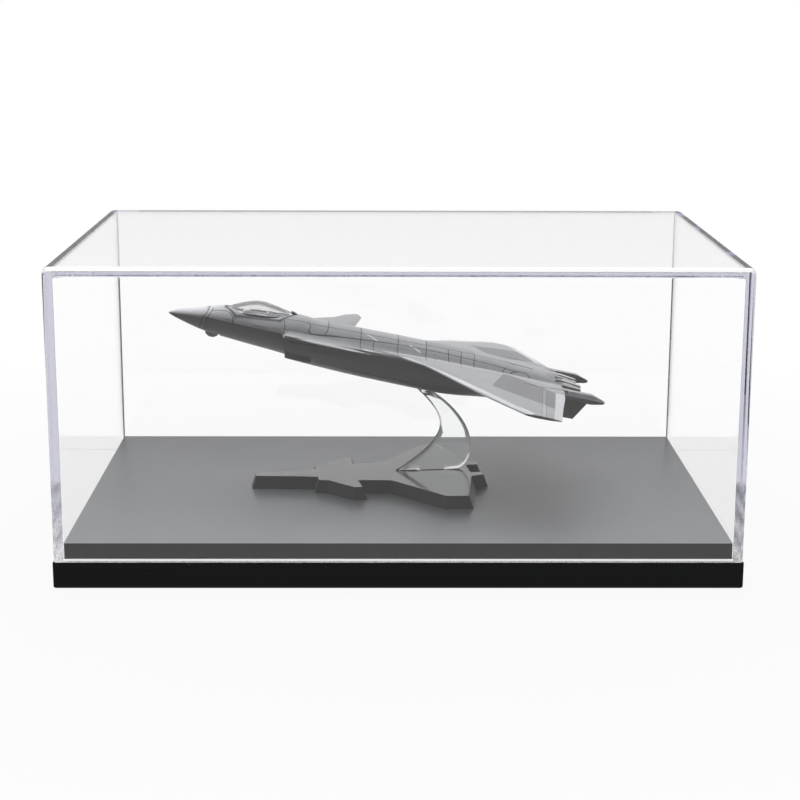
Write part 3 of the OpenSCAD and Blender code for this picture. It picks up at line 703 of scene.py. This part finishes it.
# ---------------------------------------------------------------- stand
# The stand's place and turn on the plinth
PLATE_PLACE = (9 * MM, 4 * MM, 0)
PLATE_TURN = math.radians(6.5)
TO_PLATE = (Matrix.Translation(PLATE_PLACE) @ Matrix.Rotation(PLATE_TURN, 4, "Z")).inverted()
FLAT_SIDE = 20 * MM * MM  # a face of the blade larger than this is one of its flat sides


def plate_material(base):
    """Polished top with a slight haze, and matt sides as they were cut."""
    shader = Shader("plate_gloss")
    haze = shader.noise(shader.coords(), 90.0, 4.0)
    tint = shader.mix(haze, rgba(base, 0.85), rgba(base, 1.15))
    polished = shader.principled(Base_Color=tint, Roughness=0.09 + (haze - 0.5) * 0.04)
    cut = shader.principled(Base_Color=rgba(base, 2.2), Roughness=0.6, Specular_IOR_Level=0.1)
    return shader.surface(shader.blend(shader.facing_up() > 0.8, cut, polished))


class CASE_OT_stand(bpy.types.Operator):
    """Finishes the outline plate and the clear blade"""
    bl_idname = "case.stand"
    bl_label = "Stand"

    def execute(self, context):
        looks = looks_of("case_stand")
        finish_node("stand_plate", plate_material(looks.plate_colour))
        # The blade's edges get painted shade: dark grey mixed in where they turn away from the eye
        clear = clear_sheet("clear_blade", looks.blade_tint, density=60.0, rim_shade=(0.05, 0.7, 0.75))
        blade = piece("clear_blade", self.blade(looks), (clear,), "case_base", "clear_blade", "stand_blade",
                      smooth_angle=60)
        for face in blade.data.polygons:
            face.use_smooth = face.area < FLAT_SIDE
        return {"FINISHED"}

    @staticmethod
    def blade(looks):
        """The blade's outline cut from the solid, as a flat sheet with rounded edges."""
        bm = copy_of("stand_blade")
        bmesh.ops.transform(bm, matrix=TO_PLATE, verts=bm.verts)
        slice_at(bm, (0, 0, 0), (0, 1, 0), section_only=True)
        bmesh.ops.remove_doubles(bm, verts=bm.verts, dist=0.05 * MM)
        bmesh.ops.contextual_create(bm, geom=bm.edges[:])
        bmesh.ops.translate(bm, verts=bm.verts, vec=(0, -looks.blade_thickness / 2, 0))
        grown = bmesh.ops.extrude_face_region(bm, geom=bm.faces[:], use_keep_orig=True)
        bmesh.ops.translate(bm, verts=[v for v in grown["geom"] if isinstance(v, bmesh.types.BMVert)],
                            vec=(0, looks.blade_thickness, 0))
        bmesh.ops.recalc_face_normals(bm, faces=bm.faces)
        bevel(bm, [e for e in bm.edges if not runs_along(e, "y")], looks.blade_round, 5)
        bmesh.ops.transform(bm, matrix=TO_PLATE.inverted(), verts=bm.verts)
        return bm


# ---------------------------------------------------------------- aircraft
# Places on the aircraft are in its own frame, in millimetres: x aft from the nose, y to a side, z up.
JET_NOSE = Vector((-82.78, -1.61, 80.65)) * MM
JET_TURN = Euler((0.0, math.radians(12), math.radians(3.5)))
FROM_JET = Matrix.LocRotScale(JET_NOSE, JET_TURN, Vector((MM, MM, MM)))

# Scored lines seen from above, as (x, distance from the middle)
SPINE_LINES = (
    ((42.0, 5.9), (57.5, 5.1), (83.1, 5.2), (126.0, 4.0)),
    ((51.4, 8.5), (83.9, 7.6), (102.0, 7.6), (128.0, 8.6)),
    ((74.8, 14.5), (83.2, 14.3), (93.6, 15.4)),
    ((40.9, 5.9), (41.7, 8.5), (41.7, 9.4)),
    ((50.0, 4.5), (50.9, 6.7), (50.4, 8.1), (51.4, 8.6)),
    ((57.4, 0.0), (57.4, 4.0), (57.2, 6.9), (56.4, 8.2)),
    ((69.5, 0.0), (69.5, 14.4)),
    ((74.3, 8.0), (74.4, 14.5)),
    ((83.2, 0.0), (83.2, 15.2)),
    ((93.8, 0.0), (93.6, 16.5)),
    ((101.8, 4.7), (102.4, 13.2)),
    ((106.8, 4.0), (106.5, 14.0)),
    ((111.7, 4.1), (111.5, 14.5)),
    ((119.8, 14.1), (123.6, 8.0)),
    ((125.4, 9.6), (128.3, 8.3), (131.4, 8.2), (133.0, 9.6)),
    ((15.3, 4.2), (19.9, 4.6), (22.2, 6.2), (23.1, 7.6)),
)
CANOPY_SEAL = (((19.6, 0.0), (20.0, 2.2), (23.6, 6.6), (39.6, 6.8), (44.6, 1.2)),)
DARK_SLOTS = (
    ((128.8, 23.0), (130.2, 22.6)),
    ((131.2, 23.2), (133.6, 22.0), (136.0, 22.6), (137.6, 21.2)),
    ((138.6, 20.6), (140.5, 19.7), (142.0, 19.9)),
    ((143.4, 18.8), (145.4, 19.4)),
    ((125.6, 4.4), (129.0, 3.6), (132.5, 3.3), (134.0, 4.0)),
)
LIGHT_DASHES = (((71.6, 5.3), (75.4, 7.5)), ((87.6, 7.0), (91.5, 8.9)))
LEADING_EDGES = (
    ((72.0, 16.0), (85.6, 17.9), (90.8, 21.8), (97.5, 28.6), (112.0, 45.0), (121.0, 56.0), (126.0, 60.6)),
)
WING_LINES = (
    ((135.1, 26.5), (129.9, 62.4)),
    ((136.6, 26.5), (131.4, 62.4)),
    ((126.5, 20.5), (135.1, 22.0), (135.1, 26.5)),
    ((97.5, 25.0), (125.0, 60.0), (129.6, 62.4)),
)
RIVET_LINES = (
    ((74.4, 15.6), (84.1, 15.6), (91.0, 16.4)),
    ((93.6, 15.2), (102.2, 15.1), (105.7, 16.9), (113.0, 18.6), (126.0, 18.6)),
    ((97.0, 8.4), (97.0, 15.0)),
    ((106.8, 8.4), (106.6, 15.0)),
)
# Areas of a wing seen from above, their corners counterclockwise
DARKER_WING_AREA = ((115.5, 35.8), (122.5, 13.0), (139.8, 26.6), (136.5, 48.8))
HINGE_STRIP = ((135.1, 26.5), (136.6, 26.5), (131.4, 62.4), (129.9, 62.4))
REAR_STRIP = ((140.2, 26.5), (144.5, 26.5), (137.5, 62.6), (134.2, 62.6))

# Scored lines seen from the side, as (x, z)
DUCT_SLOT = (((43.9, 0.9), (54.0, 1.2)),)
SIDE_LINES = (
    ((14.1, 5.4), (13.4, 3.3), (12.2, 1.6), (11.6, -4.5)),
    ((15.4, 5.0), (14.2, 2.6), (13.3, -0.3), (13.2, -4.5)),
    ((23.1, 2.6), (24.5, -1.2), (33.0, -1.9), (34.0, -6.5)),
    ((62.0, 1.2), (62.0, -8.5)),
    ((62.0, -3.4), (104.0, -3.4)),
    ((84.0, -3.4), (84.0, -9.5)),
    ((104.0, 1.2), (104.0, -9.5)),
)
SCORE_WIDTH = 0.22

# The nozzles' axes, to each side and above the aircraft's axis
NOZZLE_SIDE = 5.6
NOZZLE_RISE = 0.3
NOZZLE_PETALS = 12
COLLAR_X = 143.9
COLLAR_RADIUS = 5.0
COLLAR_TEETH = 9

# Blocks under the canopy and behind it, as two corners each
SEAT_BLOCKS = (
    ((31.0, -1.7, 4.4), (36.4, 1.7, 5.2)),
    ((34.6, -1.4, 4.6), (36.6, 1.4, 6.9)),
    ((35.2, -0.9, 6.8), (36.7, 0.9, 7.8)),
)
HOOD_BLOCK = ((26.2, -2.4, 4.4), (28.6, 2.4, 6.9))
HINGE_BLOCK = ((43.4, -0.9, 8.0), (45.6, 0.9, 9.2))

RIDGE_DEGREES = 38  # an edge that turns more than this is rounded
SHORTEST_RIDGE = 0.8 * MM


class Paint(Shader):
    """Model paint whose marks are set out in the aircraft's frame and are the same on both sides."""

    def __init__(self, name):
        super().__init__(name)
        self.place = self.mapped(self.coords(), JET_NOSE, JET_TURN, (MM, MM, MM), "TEXTURE")
        self.x, self.aside, self.z = self.split(self.place)
        self.y = abs(self.aside)
        self.plan = self.node("ShaderNodeCombineXYZ", {}, self.x, self.y, 1.0)
        self.profile = self.node("ShaderNodeCombineXYZ", {}, self.x, self.z, 1.0)
        self.up = self.facing_up()

    def across(self, flat, normal, through):
        """Signed distance on a flat plan from the line through a point, square to a normal."""
        return self.node("ShaderNodeVectorMath", {"operation": "DOT_PRODUCT"}, flat,
                         (normal.x, normal.y, -normal.dot(through)), output=1)

    def off_lines(self, flat, paths):
        """Distance on a flat plan from the nearest of some broken lines."""
        nearest = None
        for path in paths:
            for start, end in zip(map(Vector, path), map(Vector, path[1:])):
                along, middle = (end - start).normalized(), (start + end) / 2
                beside = abs(self.across(flat, along.orthogonal(), middle))
                beyond = abs(self.across(flat, along, middle)) - (end - start).length / 2
                off = beside.most(beyond)
                nearest = off if nearest is None else nearest.least(off)
        return nearest

    def score(self, distance, width):
        """Mask of a line of some width, from the distance to its middle."""
        return self.remap(distance, 0.3 * width, width, 1.0, 0.0)

    def patch(self, flat, corners):
        """Mask of a convex area, its corners named counterclockwise."""
        inside = None
        for start, end in zip(map(Vector, corners), map(Vector, corners[1:] + corners[:1])):
            side = self.across(flat, (end - start).orthogonal(), start) > 0.0
            inside = side if inside is None else inside * side
        return inside

    @staticmethod
    def dots(along, pitch):
        """Turns a line into a row of dots."""
        return (along / pitch).math("FRACT") < 0.5

    def coat(self, tone, roughness, scored):
        """Paint with a cloudy tone, streaks along the airflow, and a dark wash in the scored lines."""
        cloud = self.noise(self.place, 0.22, 4.0, 0.55)
        streak = self.noise(self.mapped(self.place, scale=(0.12, 1.6, 1.6)), 1.0, 3.0)
        grain = self.noise(self.place, 14.0, 2.0)
        uneven = 1.0 + (cloud - 0.5) * 0.3 + (streak - 0.5) * 0.22 + (grain - 0.5) * 0.12
        level = tone * uneven * (1.0 - scored * 0.8)
        bluish = self.node("ShaderNodeCombineColor", {}, level * 0.985, level, level * 1.02)
        rough = roughness + (grain - 0.5) * 0.12 + scored * 0.25
        return self.surface(self.principled(Base_Color=bluish, Roughness=rough, Specular_IOR_Level=0.35,
                                            Normal=self.bump(grain, 0.02 * MM, 0.4)))


def upper_paint(base):
    """Light grey of the body's upper half and the wings, with scored lines, darker panels and painted light.
    """
    paint = Paint("jet_paint_light")
    x, y = paint.x, paint.y
    above = paint.up > 0.0
    body = paint.score(paint.off_lines(paint.plan, SPINE_LINES), SCORE_WIDTH) * (y < 17.5)
    wing = paint.score(paint.off_lines(paint.plan, WING_LINES), SCORE_WIDTH) * (y > 17.0)
    rivets = paint.score(paint.off_lines(paint.plan, RIVET_LINES), SCORE_WIDTH) * paint.dots(x + y, 1.1)
    seams = paint.score(paint.off_lines(paint.profile, SIDE_LINES[:2]), SCORE_WIDTH)
    scored = (body.most(wing * 0.45).most(rivets) * above).most(seams)
    panel, hinge, rear = [paint.patch(paint.plan, area) for area in (DARKER_WING_AREA, HINGE_STRIP, REAR_STRIP)]
    spine = x.between(93.8, 112.0, 0.2) * (y < 4.8)
    hump = x.between(57.4, 69.4, 0.1) * (y < 4.9)
    # Tops inside the listed wing area get half the tone
    tone = base * (1.0 - panel * above * 0.5) * (1.0 - spine * 0.2) * (1.0 - hump * 0.12)
    # Painted highlight: a paler band along the wings' leading edges, where they would catch the lamp
    painted_edge_highlight = paint.remap(paint.off_lines(paint.plan, LEADING_EDGES), 0.9, 1.9, 1.0, 0.0)
    dashes = paint.score(paint.off_lines(paint.plan, LIGHT_DASHES), 0.3)
    tone = tone + (hinge * 0.07 + rear * 0.22 + painted_edge_highlight * 0.32 + dashes * 0.45) * above
    # Painted highlight: the nose's upper side is painted lighter towards its tip, up to 2.3 times, the more
    # it faces up
    nose = paint.remap(x, 8.0, 28.0, 1.3, 0.0) * paint.up.most(0.0)
    seal = paint.score(paint.off_lines(paint.plan, CANOPY_SEAL), 0.85)
    slots = paint.score(paint.off_lines(paint.plan, DARK_SLOTS), 0.5)
    # Painted light and shade: the tone follows which way the surface faces, half where it turns down, 1.5
    # times on upper slopes, about even on the flattest tops
    rounded = paint.remap(paint.up, -0.05, 0.25, 0.5, 1.5) * paint.remap(paint.up, 0.4, 0.9, 1.0, 0.7)
    return paint.coat(tone * (1.0 + nose) * rounded, 0.42, scored.most(seal * above).most(slots * above))


def shaded_lower_paint(base):
    """Darker grey of the sides and the belly: the top's grey darkened as painted shade."""
    paint = Paint("jet_paint_dark")
    scored = paint.score(paint.off_lines(paint.profile, SIDE_LINES), SCORE_WIDTH)
    slot = paint.score(paint.off_lines(paint.profile, DUCT_SLOT), 0.32)
    specks = (paint.noise(paint.place, 0.9, 1.0) > 0.77) * (paint.up < 0.4)
    tone = base * (1.0 + specks * 0.35)
    return paint.coat(tone, 0.45, (scored * 0.35).most(slot))


def nozzle_paint():
    """Burnt metal with a painted lit face and a painted shaded face on each petal."""
    paint = Paint("nozzle_metal")
    side = paint.aside.math("SIGN")
    turn = (paint.z - NOZZLE_RISE).math("ARCTAN2", paint.aside - side * NOZZLE_SIDE)
    # Painted light and shade: each petal is painted pale over 60 per cent of its turn and near black over the
    # rest
    painted_lit_face = (turn * (NOZZLE_PETALS / (2 * math.pi)) + 10.0).math("FRACT") < 0.6
    heat = paint.noise(paint.place, 1.2, 3.0)
    tone = paint.mix(painted_lit_face, (0.012, 0.012, 0.013, 1), (0.7, 0.7, 0.71, 1))
    tone = paint.mix(heat * 0.2, tone, (0.2, 0.18, 0.15, 1))
    return paint.surface(paint.principled(Base_Color=tone, Metallic=0.2, Roughness=0.35 + heat * 0.2))


def canopy_glass():
    """Clear canopy with a painted white reflection, and painted shade that darkens it towards its outline."""
    shader = Shader("canopy_clear")
    # The haze is a painted reflection: pale grey mixed into the clear acrylic in place of the white
    # surroundings it mirrors
    haze = shader.principled(Base_Color=(0.95, 0.955, 0.96, 1), Roughness=0.2)
    clear_with_painted_reflection = shader.blend(0.12, acrylic(shader, 0.02, (0.94, 0.95, 0.95)), haze)
    return shader.surface(shaded_rim(shader, clear_with_painted_reflection, 0.3, 0.5, 0.9))


def sloped_cube(bm, low, high, drop, to_nose):
    """A cuboid whose top slopes down by drop, to its end towards the aircraft's nose or its tail."""
    middle = (Vector(low) + Vector(high)) / 2
    for vert in cube(bm, low, high):
        if vert.co.z > middle.z and (vert.co.x < middle.x) == to_nose:
            vert.co.z -= drop


def aircraft_piece(name, bm, material, slot):
    """Moves a small part from the aircraft's frame to its place in the case."""
    bmesh.ops.transform(bm, matrix=FROM_JET, verts=bm.verts)
    piece(name, bm, (material,), "aircraft", slot, smooth_angle=30).visible_glossy = False


class CASE_OT_aircraft(bpy.types.Operator):
    """Paints the model aircraft, rounds its edges and adds its small parts"""
    bl_idname = "case.aircraft"
    bl_label = "Aircraft"

    def execute(self, context):
        looks = looks_of("case_aircraft")
        light = upper_paint(looks.top_paint)
        # The lower skins take the darker copy of the paint, which is painted shade
        dark = shaded_lower_paint(looks.shaded_side_paint)
        black = matt_material("cockpit_black", (0.02, 0.02, 0.022), 0.6)
        # Painted reflection: the cockpit tub is painted pale, so that the canopy shows white where it would
        # mirror the surroundings
        painted_pale_cockpit = matt_material("cockpit_grey", (0.72, 0.72, 0.725), 0.6)
        sensor = matt_material("sensor_grey", (0.1, 0.1, 0.102), 0.5)
        frame_paint = matt_material("frame_grey", (0.03, 0.031, 0.033), 0.45)
        skins = (
            ("jet_upper_skin", light, "jet_paint_light", 0.18, "jet_upper_body"),
            ("jet_nose_skin", light, "jet_paint_light", 0.0, "jet_nose_cone"),
            ("jet_lower_skin", dark, "jet_paint_dark", 0.12, "jet_lower_body"),
            ("jet_intake_skin_left", dark, "jet_paint_dark", 0.12, "jet_intake_left"),
            ("jet_intake_skin_right", dark, "jet_paint_dark", 0.12, "jet_intake_right"),
            ("jet_canard_skin_left", light, "jet_paint_light", 0.06, "jet_canard_left"),
            ("jet_canard_skin_right", light, "jet_paint_light", 0.06, "jet_canard_right"),
            ("jet_fin_skin_left", dark, "jet_paint_dark", 0.08, "jet_fin_left"),
            ("jet_fin_skin_right", dark, "jet_paint_dark", 0.08, "jet_fin_right"),
            ("jet_canopy_hoop", frame_paint, "frame_grey", 0.0, "jet_canopy_frame"),
            ("jet_canopy_bubble", canopy_glass(), "canopy_clear", 0.0, "jet_canopy_glass"),
            ("jet_sensor_skin", sensor, "cockpit_black", 0.1, "jet_chin_sensor"),
        )
        for name, material, slot, rounding, node in skins:
            bm = self.skin(node, rounding * MM)
            skin = piece(name, bm, (material,), "aircraft", slot, node, smooth_angle=32)
            skin.visible_glossy = False
        petals = nozzle_paint()
        for name in ("jet_nozzle_left", "jet_nozzle_right"):
            finish_node(name, petals)
        finish_node("jet_cockpit_tub", painted_pale_cockpit)
        finish_node("jet_stand_socket", black)
        finish_node("jet_body_screws", metal_material("aircraft_screws", (0.5, 0.5, 0.51), 0.35))
        # Painted light: the seat is painted pale, so that its shaded faces don't show dark through the canopy
        self.seat(matt_material("seat_grey", (0.8, 0.8, 0.81), 0.6))
        self.hinge_block(frame_paint)
        self.nozzle_collars(light)
        return {"FINISHED"}

    @staticmethod
    def skin(node, rounding):
        """A CAD node's mesh, with its ridges rounded if rounding isn't zero."""
        bm = copy_of(node)
        if rounding:
            least_turn = math.radians(RIDGE_DEGREES)
            ridges = [e for e in bm.edges if e.is_manifold and e.calc_face_angle() > least_turn
                      and e.calc_length() > SHORTEST_RIDGE]
            bevel(bm, ridges, rounding, 2, clamp_overlap=True)
        return bm

    @staticmethod
    def seat(material):
        """Seat, headrest and instrument hood under the canopy."""
        bm = bmesh.new()
        for low, high in SEAT_BLOCKS:
            cube(bm, low, high)
        sloped_cube(bm, *HOOD_BLOCK, drop=0.9, to_nose=True)
        bevel(bm, bm.edges[:], 0.25, 2)
        aircraft_piece("jet_seat", bm, material, "cockpit_black")

    @staticmethod
    def hinge_block(material):
        """Small fairing where the canopy's rear end meets the spine."""
        bm = bmesh.new()
        sloped_cube(bm, *HINGE_BLOCK, drop=0.7, to_nose=False)
        bevel(bm, bm.edges[:], 0.2, 2)
        aircraft_piece("jet_canopy_hinge", bm, material, "frame_grey")

    @staticmethod
    def nozzle_collars(material):
        """Saw-toothed plates that the nozzles come out of."""
        bm = bmesh.new()
        flat_tooth = Matrix.Rotation(math.pi / 2, 4, "X") @ Matrix.Diagonal((1.6, 1.0, 1.0, 1.0))
        for side in (-1, 1):
            axis = Matrix.Translation((COLLAR_X, side * NOZZLE_SIDE, NOZZLE_RISE))
            out = Matrix.Translation((0, side * COLLAR_RADIUS, 0))
            for step in range(COLLAR_TEETH):
                turn = Matrix.Rotation(side * math.radians(-10 + 25 * step), 4, "X")
                tooth = bmesh.ops.create_cone(bm, cap_ends=True, segments=3, radius1=1.1, radius2=1.1,
                                              depth=0.35)
                bmesh.ops.transform(bm, matrix=axis @ turn @ out @ flat_tooth, verts=tooth["verts"])
        bmesh.ops.recalc_face_normals(bm, faces=bm.faces)
        aircraft_piece("jet_nozzle_collars", bm, material, "jet_paint_light")


# ---------------------------------------------------------------- add-on
STEPS = ("stage", "boards", "cover", "stand", "aircraft")
GROUPS = {"case_cover": CoverLooks, "case_boards": BoardLooks, "case_stand": StandLooks,
          "case_aircraft": AircraftLooks}


class CASE_PT_panel(bpy.types.Panel):
    """Lists the pieces of the display case"""
    bl_idname = "CASE_PT_panel"
    bl_label = "Display case"
    bl_space_type = "VIEW_3D"
    bl_region_type = "UI"
    bl_category = "Display case"

    def draw(self, context):
        for step in STEPS:
            self.layout.operator("case." + step)
        for group in GROUPS:
            box = self.layout.box()
            for name in GROUPS[group].__annotations__:
                box.prop(getattr(context.scene, group), name)


CLASSES = (*GROUPS.values(), CASE_OT_stage, CASE_OT_boards, CASE_OT_cover, CASE_OT_stand, CASE_OT_aircraft,
           CASE_PT_panel)


def register():
    for one in CLASSES:
        bpy.utils.register_class(one)
    for name, group in GROUPS.items():
        setattr(bpy.types.Scene, name, bpy.props.PointerProperty(type=group))


def unregister():
    for name in GROUPS:
        delattr(bpy.types.Scene, name)
    for one in reversed(CLASSES):
        bpy.utils.unregister_class(one)


def main():
    register()
    for step in STEPS:
        getattr(bpy.ops.case, step)()


if __name__ == "__main__":
    main()
